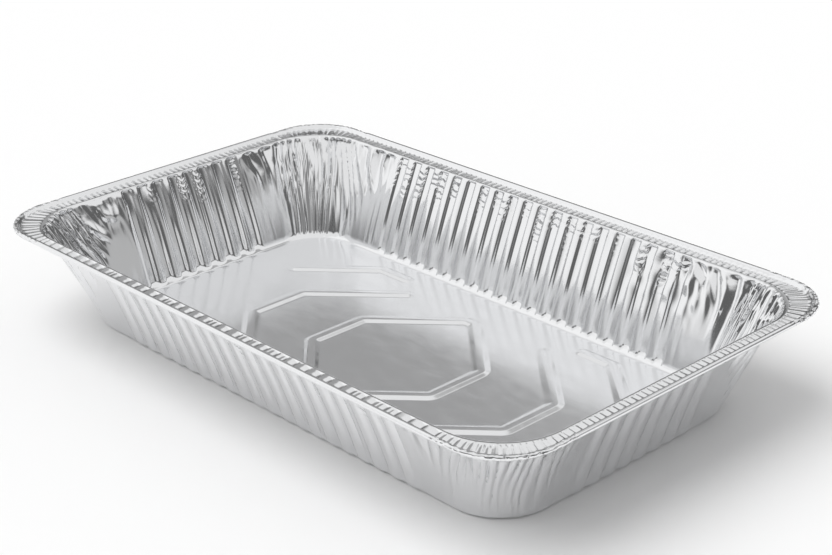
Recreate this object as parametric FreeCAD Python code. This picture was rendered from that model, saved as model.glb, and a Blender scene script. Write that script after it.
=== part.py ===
import FreeCAD, Part
import math
import os

# Full-size rectangular tray pressed from one sheet of aluminium foil.
# X runs along the length, Y along the width, Z up.
# The origin is the centre of the underside of the base.

# Overall sizes, mm
LENGTH = 527.0
WIDTH = 325.0
HEIGHT = 79.0
FOIL = 0.12

# Insets are measured inwards from the outermost edge of the rolled rim.
BASE_INSET = 45.0
BASE_FILLET = 5.0
BASE_CORNER = 38.0
WALL_TOP_INSET = 15.5
WALL_TOP_ROUND = 3.0
WALL_TOP_CORNER = 47.0

# Rolled rim
RIM_CORNER = 43.7
BEAD_RADIUS = 2.0
BEAD_ABOVE_FLANGE = 3.0
BEAD_STEP_ANGLE = 30.0
BEAD_FIRST_ANGLE = 150.0
BEAD_LAST_ANGLE = -150.0
BEAD_FOOT_INSET = 2 * BEAD_RADIUS + 2.2
BEAD_RISE_INSET = 2 * BEAD_RADIUS + 0.6
BEAD_RISE = 0.7
BEAD_CORNER_STEPS = 6

# Reeded band of the flange
REED_INNER_GAP = 0.6
REED_OUTER_INSET = BEAD_FOOT_INSET + 1.0
REED_DEPTH = 0.9
REED_PITCH = 10.4
REED_CORNER_PITCH = 5.0

FLANGE_TOP = HEIGHT - BEAD_ABOVE_FLANGE
WALL_RUN = BASE_INSET - WALL_TOP_INSET
WALL_TURN = math.atan2(FLANGE_TOP - FOIL, WALL_RUN)
WALL_LEAN = math.pi / 2 - WALL_TURN
FLOOR_INSET = BASE_INSET + (BASE_FILLET + FOIL) * math.tan(WALL_TURN / 2)

# Upright flutes, pressed outwards from the plane of the wall
LONG_FLUTE_PITCH = 15.1
SHORT_FLUTE_PITCH = 14.7
FLUTE_LAND = 5.3
FLUTE_FLANK = 2.4
FLUTE_DEPTH = 2.0
FLUTE_TOP_BELOW_FLANGE = 3.4
FLUTE_TOP_RUN = 2.2
FLUTE_FOOT_LIFT = 1.0

# Gathered corners, which start a little beyond the last flute of each wall.
# Each wall has as many flutes as its straight part of the floor edge has room for.
FLUTE_TO_GATHER = 16.0
LONG_GATHER_SIDE = 12.0
SHORT_GATHER_SIDE = 3.0
FLUTE_HALF = FLUTE_LAND / 2 + FLUTE_FLANK
CORNER_ROOM = FLOOR_INSET + BASE_CORNER + FLUTE_TO_GATHER + FLUTE_HALF
LONG_FLUTES = 1 + int((LENGTH - 2 * (CORNER_ROOM + LONG_GATHER_SIDE)) / LONG_FLUTE_PITCH)
SHORT_FLUTES = 1 + int((WIDTH - 2 * (CORNER_ROOM + SHORT_GATHER_SIDE)) / SHORT_FLUTE_PITCH)
LONG_PLAIN_END = (LONG_FLUTES - 1) / 2 * LONG_FLUTE_PITCH + FLUTE_HALF + FLUTE_TO_GATHER
SHORT_PLAIN_END = (SHORT_FLUTES - 1) / 2 * SHORT_FLUTE_PITCH + FLUTE_HALF + FLUTE_TO_GATHER
GATHER_SIDE_STEPS = 4
GATHER_ARC_STEPS = 14
GATHER_LEVELS = 3
GATHER_TOP_DEPTH = 1.5
GATHER_FOOT_DEPTH = 0.35
GATHER_ROUND_DEPTH = 0.6
GATHER_ONSET = 2.2
GATHER_UNEVEN = 0.25
GATHER_UNEVEN_STEP = 2.1
GATHER_UNEVEN_LEVEL = 0.5
GATHER_SWAY = 1.3
GATHER_SWAY_STEP = 1.7
GATHER_SWAY_LEVEL = 0.9

# Ridges raised on the floor: a closed ring, an open ring beyond each end of it,
# and an angled ridge near each corner
RIDGE_HEIGHT = 2.0
RIDGE_FOOT = 11.4
RIDGE_TOP = 5.4
RIDGE_TO_SIDE = 16.0
RIDGE_TO_END = 38.0
CORNER_RIDGE_SIDE = WIDTH / 2 - FLOOR_INSET - RIDGE_TO_SIDE
CORNER_RIDGE_OUTER = LENGTH / 2 - FLOOR_INSET - RIDGE_TO_END
CORNER_RIDGE_BEND = CORNER_RIDGE_OUTER - 57.0
CORNER_RIDGE_INNER = CORNER_RIDGE_BEND - 36.0
CORNER_RIDGE_END = CORNER_RIDGE_SIDE - 51.0
RING_END = 62.3
RING_SPACING = 69.7
RING_SIDE = CORNER_RIDGE_SIDE - 21.0
RING_END_HALF = RING_SIDE - 52.0
RING_SIDE_HALF = 4.6
ARM_REACH = 66.0

FILLET_STEPS = 3
ROUND_STEPS = 2

# Places in the run of section points
FLOOR_EDGE = 0
FLUTE_FOOT = 1
WALL_FOOT = FILLET_STEPS
WALL_HEAD = WALL_FOOT + GATHER_LEVELS + 1
FLANGE_START = WALL_HEAD + ROUND_STEPS
BEAD_START = FLANGE_START + 1


def outer_section():
    """Underside of the foil from floor edge to curled end, as (inset, height) points."""
    points = []
    fillet = BASE_FILLET + FOIL
    start = FLOOR_INSET
    for step in range(FILLET_STEPS + 1):
        turn = WALL_TURN * step / FILLET_STEPS
        points.append((start - fillet * math.sin(turn), fillet - fillet * math.cos(turn)))
    bend = WALL_TOP_ROUND - FOIL
    level = FLANGE_TOP - FOIL
    end = WALL_TOP_INSET - bend * math.tan(WALL_TURN / 2)
    round_points = []
    for step in range(ROUND_STEPS + 1):
        turn = WALL_TURN * (1 - step / ROUND_STEPS)
        round_points.append((end + bend * math.sin(turn), level - bend + bend * math.cos(turn)))
    foot = points[-1]
    head = round_points[0]
    for step in range(1, GATHER_LEVELS + 1):
        share = step / (GATHER_LEVELS + 1)
        inset = foot[0] + (head[0] - foot[0]) * share
        points.append((inset, foot[1] + (head[1] - foot[1]) * share))
    points.extend(round_points)
    points.append((BEAD_FOOT_INSET, level))
    points.append((BEAD_RISE_INSET, level + BEAD_RISE))
    curl = BEAD_RADIUS - FOIL / math.cos(math.radians(BEAD_STEP_ANGLE / 2))
    steps = round((BEAD_FIRST_ANGLE - BEAD_LAST_ANGLE) / BEAD_STEP_ANGLE)
    for step in range(steps + 1):
        angle = math.radians(BEAD_FIRST_ANGLE - BEAD_STEP_ANGLE * step)
        inset = BEAD_RADIUS - curl * math.cos(angle)
        points.append((inset, HEIGHT - BEAD_RADIUS + curl * math.sin(angle)))
    return points


def left_normal(first, second):
    """Unit normal on the inner side of the foil for one stretch of the section."""
    run = first[0] - second[0]
    rise = second[1] - first[1]
    size = math.hypot(run, rise)
    return rise / size, run / size


def inner_section(points):
    """Same section moved by the thickness of the foil to its inner side."""
    before = (points[0][0] + 1.0, points[0][1])
    last = points[-1]
    after = (2 * last[0] - points[-2][0], 2 * last[1] - points[-2][1])
    chain = [before] + points + [after]
    moved = []
    for place in range(1, len(chain) - 1):
        one = left_normal(chain[place - 1], chain[place])
        two = left_normal(chain[place], chain[place + 1])
        scale = FOIL / (1 + one[0] * two[0] + one[1] * two[1])
        inset = chain[place][0] + scale * (one[0] + two[0])
        moved.append((inset, chain[place][1] + scale * (one[1] + two[1])))
    return moved


UNDER = outer_section()
INNER = inner_section(UNDER)


def corner_radius(place):
    """Plan radius of the underside of the foil at one point of the section."""
    inset = UNDER[place][0]
    if place >= BEAD_START:
        return RIM_CORNER - inset
    if place >= WALL_HEAD:
        return WALL_TOP_CORNER
    foot = UNDER[FLOOR_EDGE][0]
    share = (foot - inset) / (foot - UNDER[WALL_HEAD][0])
    return BASE_CORNER + (WALL_TOP_CORNER - BASE_CORNER) * share


def gather_depth(place):
    """Depth of the gathers at one point of the section."""
    if place < WALL_FOOT or place >= FLANGE_START:
        return 0.0
    if place > WALL_HEAD:
        return GATHER_ROUND_DEPTH
    share = (place - WALL_FOOT) / (WALL_HEAD - WALL_FOOT)
    return GATHER_FOOT_DEPTH + (GATHER_TOP_DEPTH - GATHER_FOOT_DEPTH) * share


def corner_points(section, place):
    """Points of one section place round the gathered corner, long side first."""
    inset, level = section[place]
    radius = corner_radius(place) - (inset - UNDER[place][0])
    half_x = LENGTH / 2 - inset
    half_y = WIDTH / 2 - inset
    centre_x = half_x - radius
    centre_y = half_y - radius
    depth = gather_depth(place)
    total = 2 * GATHER_SIDE_STEPS + GATHER_ARC_STEPS
    points = []
    for step in range(total + 1):
        swell = math.sin(math.pi * step / total)
        wave = math.sin(GATHER_SWAY_LEVEL * place + GATHER_SWAY_STEP * step)
        sway = GATHER_SWAY * swell * wave * depth / GATHER_TOP_DEPTH
        wave = math.sin(GATHER_UNEVEN_STEP * step + GATHER_UNEVEN_LEVEL * place)
        push = depth * min(1.0, GATHER_ONSET * swell) * (1 - GATHER_UNEVEN + GATHER_UNEVEN * wave)
        if step % 2:
            push = -push
        if step <= GATHER_SIDE_STEPS:
            share = step / GATHER_SIDE_STEPS
            x = LONG_PLAIN_END + (centre_x - LONG_PLAIN_END) * share + sway
            points.append((x, half_y + push, level))
        elif step >= GATHER_SIDE_STEPS + GATHER_ARC_STEPS:
            share = (total - step) / GATHER_SIDE_STEPS
            y = SHORT_PLAIN_END + (centre_y - SHORT_PLAIN_END) * share - sway
            points.append((half_x + push, y, level))
        else:
            share = (step - GATHER_SIDE_STEPS) / GATHER_ARC_STEPS
            angle = math.pi / 2 * (1 - share) - sway / radius
            reach = radius + push
            x = centre_x + reach * math.cos(angle)
            points.append((x, centre_y + reach * math.sin(angle), level))
    return points


def bead_points(section, place):
    """Points of one section place of the bead round the corner, long side first."""
    inset, level = section[place]
    radius = RIM_CORNER - inset
    centre_x = LENGTH / 2 - RIM_CORNER
    centre_y = WIDTH / 2 - RIM_CORNER
    points = []
    for step in range(BEAD_CORNER_STEPS + 1):
        angle = math.pi / 2 * (1 - step / BEAD_CORNER_STEPS)
        x = centre_x + radius * math.cos(angle)
        points.append((x, centre_y + radius * math.sin(angle), level))
    return points


def turned(point, quarter):
    """Copy of a point of the first quarter in one of the four quarters."""
    sign_x = 1 if quarter in (0, 3) else -1
    sign_y = 1 if quarter in (0, 1) else -1
    return point[0] * sign_x, point[1] * sign_y, point[2]


def face_of(points):
    """Flat face with the given corners."""
    corners = [FreeCAD.Vector(*point) for point in points]
    return Part.Face(Part.makePolygon(corners + corners[:1]))


def face_with_holes(outline, holes):
    """Flat face with a rim and holes in it."""
    wires = []
    for points in [outline] + holes:
        corners = [FreeCAD.Vector(*point) for point in points]
        wires.append(Part.makePolygon(corners + corners[:1]))
    return Part.Face(wires)


def closed_ring(quarter_points):
    """Corner points of the first quarter carried round all four quarters."""
    ring = []
    for quarter in range(4):
        points = [turned(point, quarter) for point in quarter_points]
        if quarter % 2 == 0:
            points.reverse()
        ring.extend(points)
    return ring


def strip_faces(lower, upper):
    """Faces between two runs of corner points, in all four quarters."""
    faces = []
    for quarter in range(4):
        for step in range(len(lower) - 1):
            one = turned(lower[step], quarter)
            two = turned(lower[step + 1], quarter)
            three = turned(upper[step + 1], quarter)
            four = turned(upper[step], quarter)
            if step % 2:
                faces.append(face_of([one, two, three]))
                faces.append(face_of([one, three, four]))
            else:
                faces.append(face_of([one, two, four]))
                faces.append(face_of([two, three, four]))
    return faces


def flat_strip_faces(lower, upper):
    """Four-sided faces between two runs of corner points, in all four quarters."""
    faces = []
    for quarter in range(4):
        for step in range(len(lower) - 1):
            corners = [lower[step], lower[step + 1], upper[step + 1], upper[step]]
            faces.append(face_of([turned(corner, quarter) for corner in corners]))
    return faces


def side_faces(lower, upper):
    """Four straight faces that join the corners between two section places."""
    faces = []
    for end in (0, -1):
        one = lower[end]
        two = upper[end]
        for sign in (1, -1):
            if end == 0:
                quad = [(one[0], one[1] * sign, one[2]), (-one[0], one[1] * sign, one[2]),
                        (-two[0], two[1] * sign, two[2]), (two[0], two[1] * sign, two[2])]
            else:
                quad = [(one[0] * sign, one[1], one[2]), (one[0] * sign, -one[1], one[2]),
                        (two[0] * sign, -two[1], two[2]), (two[0] * sign, two[1], two[2])]
            faces.append(face_of(quad))
    return faces


def fluted_wall(section, spare, long_side, sign):
    """Faces of one straight fluted wall, its fillet and its flutes."""
    half = WIDTH / 2 if long_side else LENGTH / 2
    count = LONG_FLUTES if long_side else SHORT_FLUTES
    pitch = LONG_FLUTE_PITCH if long_side else SHORT_FLUTE_PITCH
    plain_end = LONG_PLAIN_END if long_side else SHORT_PLAIN_END
    depth = FLUTE_DEPTH / math.cos(WALL_LEAN)
    slope = math.atan2(FLUTE_DEPTH, FLUTE_FLANK)
    end_slope = math.atan2(FLUTE_DEPTH, FLUTE_TOP_RUN)
    deep_half = FLUTE_LAND / 2 + spare * math.tan(slope / 2)
    edge_half = deep_half + FLUTE_FLANK
    mid_half = (deep_half + edge_half) / 2
    foot = section[WALL_FOOT]
    head = section[WALL_HEAD]
    lean = (foot[0] - head[0]) / (head[1] - foot[1])
    top_shift = spare * math.tan(end_slope / 2) * math.cos(WALL_LEAN)
    top = FLANGE_TOP - FLUTE_TOP_BELOW_FLANGE + top_shift
    deep_top = top - FLUTE_TOP_RUN * math.cos(WALL_LEAN)
    deep_foot = foot[1] + FLUTE_FOOT_LIFT

    def spot(along, inset, level):
        out = (half - inset) * sign
        return (along, out, level) if long_side else (out, along, level)

    def on_wall(along, level, outwards=0.0):
        return spot(along, foot[0] - (level - foot[1]) * lean - outwards, level)

    def on_line(along, place):
        return spot(along, section[place][0], section[place][1])

    faces = []
    foot_line = [on_line(-plain_end, FLUTE_FOOT)]
    wall_line = [on_line(-plain_end, WALL_FOOT)]
    last_edge = -plain_end
    last_mid = -plain_end
    last_deep = -plain_end
    for number in range(count):
        centre = (number - (count - 1) / 2) * pitch
        left = centre - edge_half
        right = centre + edge_half
        deep_left = centre - deep_half
        deep_right = centre + deep_half
        foot_line.extend([on_line(deep_left, FLUTE_FOOT), on_line(deep_right, FLUTE_FOOT)])
        wall_line.extend([on_line(left, WALL_FOOT), on_wall(left, top),
                          on_wall(right, top), on_line(right, WALL_FOOT)])
        low_left = on_wall(deep_left, deep_foot, depth)
        low_right = on_wall(deep_right, deep_foot, depth)
        high_left = on_wall(deep_left, deep_top, depth)
        high_right = on_wall(deep_right, deep_top, depth)
        faces.append(face_of([low_left, low_right, high_right, high_left]))
        faces.append(face_of([high_left, high_right, on_wall(right, top), on_wall(left, top)]))
        faces.append(face_of([on_line(deep_left, FLUTE_FOOT), on_line(deep_right, FLUTE_FOOT),
                              low_right, low_left]))
        for edge, deep, mid, low, high in (
                (left, deep_left, centre - mid_half, low_left, high_left),
                (right, deep_right, centre + mid_half, low_right, high_right)):
            faces.append(face_of([on_line(deep, FLUTE_FOOT), on_line(mid, FLUTE_FOOT + 1), low]))
            faces.append(face_of([on_line(mid, FLUTE_FOOT + 1), on_line(edge, WALL_FOOT), low]))
            faces.append(face_of([on_line(edge, WALL_FOOT), on_wall(edge, top), high]))
            faces.append(face_of([on_line(edge, WALL_FOOT), high, low]))
        faces.append(face_of([on_line(last_deep, FLUTE_FOOT), on_line(deep_left, FLUTE_FOOT),
                              on_line(centre - mid_half, FLUTE_FOOT + 1),
                              on_line(last_mid, FLUTE_FOOT + 1)]))
        faces.append(face_of([on_line(last_mid, FLUTE_FOOT + 1),
                              on_line(centre - mid_half, FLUTE_FOOT + 1),
                              on_line(left, WALL_FOOT), on_line(last_edge, WALL_FOOT)]))
        last_edge = right
        last_mid = centre + mid_half
        last_deep = deep_right
    faces.append(face_of([on_line(last_deep, FLUTE_FOOT), on_line(plain_end, FLUTE_FOOT),
                          on_line(plain_end, FLUTE_FOOT + 1), on_line(last_mid, FLUTE_FOOT + 1)]))
    faces.append(face_of([on_line(last_mid, FLUTE_FOOT + 1), on_line(plain_end, FLUTE_FOOT + 1),
                          on_line(plain_end, WALL_FOOT), on_line(last_edge, WALL_FOOT)]))
    foot_line.append(on_line(plain_end, FLUTE_FOOT))
    foot_line.extend([on_line(plain_end, FLOOR_EDGE), on_line(-plain_end, FLOOR_EDGE)])
    faces.append(face_of(foot_line))
    wall_line.append(on_line(plain_end, WALL_FOOT))
    for sense in (1, -1):
        levels = range(WALL_FOOT + 1, WALL_HEAD) if sense > 0 else range(WALL_HEAD - 1, WALL_FOOT, -1)
        if sense < 0:
            wall_line.append(on_line(-plain_end, WALL_HEAD))
        wall_line.extend([on_line(plain_end * sense, place) for place in levels])
        if sense > 0:
            wall_line.append(on_line(plain_end, WALL_HEAD))
    faces.append(face_of(wall_line))
    return faces


def reed_ring(inset, radius, level, shift):
    """Evenly spread points round the flange, moved by a share of one step."""
    half_x = LENGTH / 2 - inset
    half_y = WIDTH / 2 - inset
    centre_x = half_x - radius
    centre_y = half_y - radius
    ring = []
    sides = ((1, 1), (-1, 1), (-1, -1), (1, -1))
    for quarter, (sign_x, sign_y) in enumerate(sides):
        along_x = quarter % 2 == 0
        for step in range(REED_CORNER_COUNT):
            turn = math.pi / 2 * (quarter + (step + shift) / REED_CORNER_COUNT)
            x = sign_x * centre_x + radius * math.cos(turn)
            ring.append((x, sign_y * centre_y + radius * math.sin(turn), level))
        count = REED_LONG_COUNT if along_x else REED_SHORT_COUNT
        for step in range(count):
            share = 1 - 2 * (step + shift) / count
            if along_x:
                ring.append((sign_x * centre_x * share, sign_y * half_y, level))
            else:
                ring.append((sign_x * half_x, sign_y * centre_y * share, level))
    return ring


REED_INNER_INSET = INNER[FLANGE_START][0] - REED_INNER_GAP
REED_INNER_RADIUS = WALL_TOP_CORNER
REED_OUTER_RADIUS = RIM_CORNER - REED_OUTER_INSET
REED_LONG_RUN = LENGTH - 2 * (REED_INNER_INSET + REED_INNER_RADIUS)
REED_SHORT_RUN = WIDTH - 2 * (REED_INNER_INSET + REED_INNER_RADIUS)
REED_LONG_COUNT = round(REED_LONG_RUN / REED_PITCH)
REED_SHORT_COUNT = round(REED_SHORT_RUN / REED_PITCH)
REED_CORNER_COUNT = round(REED_INNER_RADIUS * math.pi / 2 / REED_CORNER_PITCH)


def reed_faces(level, spare, start_ring, bead_ring):
    """Flange between the wall and the bead, with its radial reeds."""
    shift = spare * math.tan(math.pi / 8)
    inner = REED_INNER_INSET + shift
    outer = REED_OUTER_INSET - shift
    inner_tops = reed_ring(inner, REED_INNER_RADIUS, level, 0.0)
    outer_tops = reed_ring(outer, REED_OUTER_RADIUS, level, 0.0)
    inner_lows = reed_ring(inner - REED_DEPTH, REED_INNER_RADIUS, level - REED_DEPTH, 0.5)
    outer_lows = reed_ring(outer + REED_DEPTH, REED_OUTER_RADIUS, level - REED_DEPTH, 0.5)
    faces = [face_with_holes(inner_tops, [start_ring]), face_with_holes(bead_ring, [outer_tops])]
    count = len(inner_tops)
    for step in range(count):
        after = (step + 1) % count
        faces.append(face_of([inner_tops[step], inner_lows[step], inner_tops[after]]))
        faces.append(face_of([outer_tops[step], outer_lows[step], outer_tops[after]]))
        for top in (step, after):
            faces.append(face_of([inner_tops[top], outer_tops[top], outer_lows[step]]))
            faces.append(face_of([inner_tops[top], outer_lows[step], inner_lows[step]]))
    return faces


def offset_run(path, reach, closed):
    """Line drawn beside a path at a distance, with mitred bends."""
    count = len(path)
    moved = []
    for place in range(count):
        sides = []
        for first, second in ((place - 1, place), (place, place + 1)):
            if closed or (first >= 0 and second < count):
                one = path[first % count]
                two = path[second % count]
                size = math.hypot(two[0] - one[0], two[1] - one[1])
                sides.append(((one[1] - two[1]) / size, (two[0] - one[0]) / size))
        if len(sides) == 1:
            sides = sides * 2
        scale = reach / (1 + sides[0][0] * sides[1][0] + sides[0][1] * sides[1][1])
        x = path[place][0] + scale * (sides[0][0] + sides[1][0])
        moved.append((x, path[place][1] + scale * (sides[0][1] + sides[1][1])))
    return moved


def shortened(path, cut):
    """Path with both of its ends drawn back by a length."""
    points = list(path)
    for end, beside in ((0, 1), (-1, -2)):
        size = math.hypot(points[beside][0] - points[end][0], points[beside][1] - points[end][1])
        x = points[end][0] + (points[beside][0] - points[end][0]) * cut / size
        y = points[end][1] + (points[beside][1] - points[end][1]) * cut / size
        points[end] = (x, y)
    return points


def ridge_faces(path, closed, level, spare):
    """Faces of one floor ridge and the outlines it leaves in the floor."""
    flank = (RIDGE_FOOT - RIDGE_TOP) / 2
    shrink = spare * math.tan(math.atan2(RIDGE_HEIGHT, flank) / 2)
    foot_half = RIDGE_FOOT / 2 - shrink
    top_half = RIDGE_TOP / 2 - shrink
    foot_path = path if closed else shortened(path, shrink)
    top_path = path if closed else shortened(path, shrink + flank)
    top_level = level + RIDGE_HEIGHT
    runs = []
    for run, reach, height in ((foot_path, foot_half, level), (top_path, top_half, top_level),
                               (top_path, -top_half, top_level), (foot_path, -foot_half, level)):
        runs.append([(x, y, height) for x, y in offset_run(run, reach, closed)])
    faces = []
    count = len(path)
    for place in range(count if closed else count - 1):
        after = (place + 1) % count
        for one, two in zip(runs, runs[1:]):
            faces.append(face_of([one[place], one[after], two[after], two[place]]))
    if closed:
        return faces, runs[0], runs[3]
    for end in (0, -1):
        faces.append(face_of([run[end] for run in runs]))
    return faces, runs[0] + runs[3][::-1], None


def floor_faces(level, spare, edge_ring):
    """Flat floor with its ridges."""
    half = RING_END_HALF
    ring = [(RING_END, -half), (RING_END, half), (RING_SIDE_HALF, RING_SIDE),
            (-RING_SIDE_HALF, RING_SIDE), (-RING_END, half), (-RING_END, -half),
            (-RING_SIDE_HALF, -RING_SIDE), (RING_SIDE_HALF, -RING_SIDE)]
    faces, inside, outside = ridge_faces(ring, True, level, spare)
    rise = (RING_SIDE - half) / (RING_END - RING_SIDE_HALF)
    holes = [outside]
    reach = RING_END + RING_SPACING
    arm = half + ARM_REACH * rise
    paths = []
    for sign in (1, -1):
        paths.append([(sign * (reach - ARM_REACH), arm), (sign * reach, half),
                      (sign * reach, -half), (sign * (reach - ARM_REACH), -arm)])
        for side in (1, -1):
            paths.append([(sign * CORNER_RIDGE_INNER, side * CORNER_RIDGE_SIDE),
                          (sign * CORNER_RIDGE_BEND, side * CORNER_RIDGE_SIDE),
                          (sign * CORNER_RIDGE_OUTER, side * CORNER_RIDGE_END)])
    for path in paths:
        ridge, outline, unused = ridge_faces(path, False, level, spare)
        faces.extend(ridge)
        holes.append(outline)
    faces.append(face_of(inside))
    faces.append(face_with_holes(edge_ring, holes))
    return faces


def skin_faces(section, spare):
    """All faces of one side of the foil."""
    faces = []
    corners = [corner_points(section, place) for place in range(FLANGE_START + 1)]
    for place in range(FLANGE_START):
        faces.extend(strip_faces(corners[place], corners[place + 1]))
    for place in range(WALL_HEAD, FLANGE_START):
        faces.extend(side_faces(corners[place], corners[place + 1]))
    for long_side in (True, False):
        for sign in (1, -1):
            faces.extend(fluted_wall(section, spare, long_side, sign))
    beads = [bead_points(section, place) for place in range(BEAD_START, len(section))]
    for lower, upper in zip(beads, beads[1:]):
        faces.extend(flat_strip_faces(lower, upper))
        faces.extend(side_faces(lower, upper))
    start_ring = closed_ring(corners[FLANGE_START])
    faces.extend(reed_faces(section[FLANGE_START][1], spare, start_ring, closed_ring(beads[0])))
    level = section[FLOOR_EDGE][1]
    faces.extend(floor_faces(level, spare, closed_ring(corners[FLOOR_EDGE])))
    return faces, beads[-1]


def build_tray():
    """Closed solid of the foil between its underside and its inner side."""
    under_faces, under_end = skin_faces(UNDER, FOIL)
    inner_faces, inner_end = skin_faces(INNER, 0.0)
    faces = under_faces + inner_faces
    faces.extend(flat_strip_faces(under_end, inner_end))
    faces.extend(side_faces(under_end, inner_end))
    shell = Part.Shell(faces)
    solid = Part.Solid(shell)
    if solid.Volume < 0:
        solid.reverse()
    return solid


tray = build_tray()
os.makedirs("parts", exist_ok=True)
tray.exportStep("parts/foil_tray.step")
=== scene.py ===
"""Detailed view of a full-size aluminium foil tray.

The tray is one pressed sheet of foil. It is built here in three meshes that meet
edge to edge: the ridged floor, the fluted walls with their gathered corners, and
the rolled rim (reeded flange and bead). The classes take sizes in millimetres and
the meshes are in metres, in the frame of the tray: X along the length, Y along the
width, Z up, origin under the centre of the base.
"""

import logging
import math
from collections.abc import Callable
from dataclasses import dataclass, field
from enum import Enum

import bmesh
import bpy
import numpy as np
from mathutils import Matrix, Vector, noise

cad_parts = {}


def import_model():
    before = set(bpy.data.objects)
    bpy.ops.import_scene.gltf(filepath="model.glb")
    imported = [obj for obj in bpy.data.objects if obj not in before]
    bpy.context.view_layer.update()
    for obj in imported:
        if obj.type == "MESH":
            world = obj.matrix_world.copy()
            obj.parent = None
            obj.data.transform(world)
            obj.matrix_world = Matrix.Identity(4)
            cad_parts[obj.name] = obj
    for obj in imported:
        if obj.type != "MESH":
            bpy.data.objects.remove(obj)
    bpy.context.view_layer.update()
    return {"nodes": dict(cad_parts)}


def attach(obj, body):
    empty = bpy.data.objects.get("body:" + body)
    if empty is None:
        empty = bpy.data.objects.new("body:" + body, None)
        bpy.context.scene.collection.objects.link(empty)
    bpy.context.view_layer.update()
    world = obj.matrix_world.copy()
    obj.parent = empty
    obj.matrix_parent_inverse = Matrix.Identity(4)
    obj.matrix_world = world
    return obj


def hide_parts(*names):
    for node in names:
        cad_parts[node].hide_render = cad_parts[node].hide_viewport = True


LOG = logging.getLogger("foil_tray")
MM = 0.001
SHARP_EDGE = 60.0  # degrees; edges with a greater turn aren't smoothed


class Corner(Enum):
    """The four corners of the tray, each with its own run of gathers."""

    FAR_RIGHT = (1, 1, 11.3, 0.9, 1.15)
    NEAR_RIGHT = (1, -1, 27.9, -0.6, 1.0)
    NEAR_LEFT = (-1, -1, 43.1, 0.8, 1.5)
    FAR_LEFT = (-1, 1, 64.7, -0.4, 1.25)

    @property
    def sign_x(self) -> int:
        """Side of the tray along X, 1 or -1."""
        return self.value[0]

    @property
    def sign_y(self) -> int:
        """Side of the tray along Y, 1 or -1."""
        return self.value[1]

    @property
    def seed(self) -> float:
        """Place in the noise field that gives this corner its own folds."""
        return self.value[2]

    @property
    def slant(self) -> float:
        """How far the folds lean from upright as they rise."""
        return self.value[3]

    @property
    def stretch(self) -> float:
        """Width of the folds against the usual one."""
        return self.value[4]

    @property
    def from_long(self) -> bool:
        """Whether the way round the tray reaches it from a long wall."""
        return self.sign_x == self.sign_y


class Zone(Enum):
    """Kinds of stretch that the outline of the tray is made of."""

    LONG_WALL = 0
    SHORT_WALL = 1
    CORNER_LONG_SIDE = 2
    CORNER_ARC = 3
    CORNER_SHORT_SIDE = 4


def soft_ramp(share: np.ndarray, softness: float) -> np.ndarray:
    """Straight ramp from 0 to 1 with rounded ends.

    Args:
        share: Place along the ramp, 0 at its foot and 1 at its head.
        softness: Size of the rounding, as a share of the ramp.

    Returns:
        Height of the ramp at each place, from 0 to 1.
    """
    low = np.logaddexp(0.0, share / softness)
    high = np.logaddexp(0.0, (share - 1.0) / softness)
    return (low - high) * softness


def smooth_step(value: np.ndarray, start: float, end: float) -> np.ndarray:
    """Smooth rise from 0 at start to 1 at end.

    Args:
        value: Places to work out.
        start: Place where the rise starts.
        end: Place where the rise ends.

    Returns:
        The rise at each place.
    """
    share = np.clip((np.asarray(value, float) - start) / (end - start), 0.0, 1.0)
    return share * share * (3.0 - 2.0 * share)


def pleat(place: float) -> float:
    """Profile of a row of pleats with sharp crests and round valleys.

    Args:
        place: Place along the row, in pleats.

    Returns:
        Height from -1 in the valleys to 1 on the crests.
    """
    return 1.0 - 2.0 * abs(math.sin(math.pi * place))


def drift(first: float, second: float, third: float) -> float:
    """Smooth random value from about -1 to 1 at one place of the noise field."""
    return noise.noise(Vector((first, second, third)))


@dataclass
class TrayPlan:
    """Outline of the tray seen from above, shared by all meshes, in mm."""

    length: float = 527.0
    width: float = 325.0
    height: float = 79.0
    foil: float = 0.12
    base_corner: float = 38.0
    wall_top_corner: float = 47.0
    rim_corner: float = 43.7
    base_inset: float = 45.0
    base_fillet: float = 5.0
    wall_top_inset: float = 15.5
    wall_top_round: float = 3.0
    bead_radius: float = 2.0
    bead_above_flange: float = 3.0
    seam_inset: float = 13.2
    wall_bow: float = 1.2

    @property
    def flange_top(self) -> float:
        """Height of the upper side of the flange."""
        return self.height - self.bead_above_flange

    @property
    def wall_turn(self) -> float:
        """Angle of the wall from the horizontal."""
        return math.atan2(self.flange_top - self.foil, self.base_inset - self.wall_top_inset)

    @property
    def floor_inset(self) -> float:
        """Inset of the edge of the flat floor."""
        return self.base_inset + self.base_fillet * math.tan(self.wall_turn / 2)


@dataclass
class Columns:
    """Upright lines of vertices round the tray, in order."""

    zone: list[Zone] = field(default_factory=list)
    sign_x: list[int] = field(default_factory=list)
    sign_y: list[int] = field(default_factory=list)
    place: list[float] = field(default_factory=list)
    corner: list[Corner | None] = field(default_factory=list)

    def add(self, zone: Zone, sign_x: int, sign_y: int, place: float,
            corner: Corner | None = None) -> None:
        """Add one column.

        Args:
            zone: Stretch of the outline that it is in.
            sign_x: Side of the tray along X.
            sign_y: Side of the tray along Y.
            place: Coordinate along a wall in mm, or share of a corner stretch.
            corner: Corner that it belongs to.
        """
        self.zone.append(zone)
        self.sign_x.append(sign_x)
        self.sign_y.append(sign_y)
        self.place.append(place)
        self.corner.append(corner)

    def side(self, index: int) -> int:
        """Side that a wall's column is on: 2 far, -2 near, 1 right, -1 left."""
        return self.sign_x[index] + 2 * self.sign_y[index]

    def __len__(self) -> int:
        """Number of columns."""
        return len(self.zone)


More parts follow.
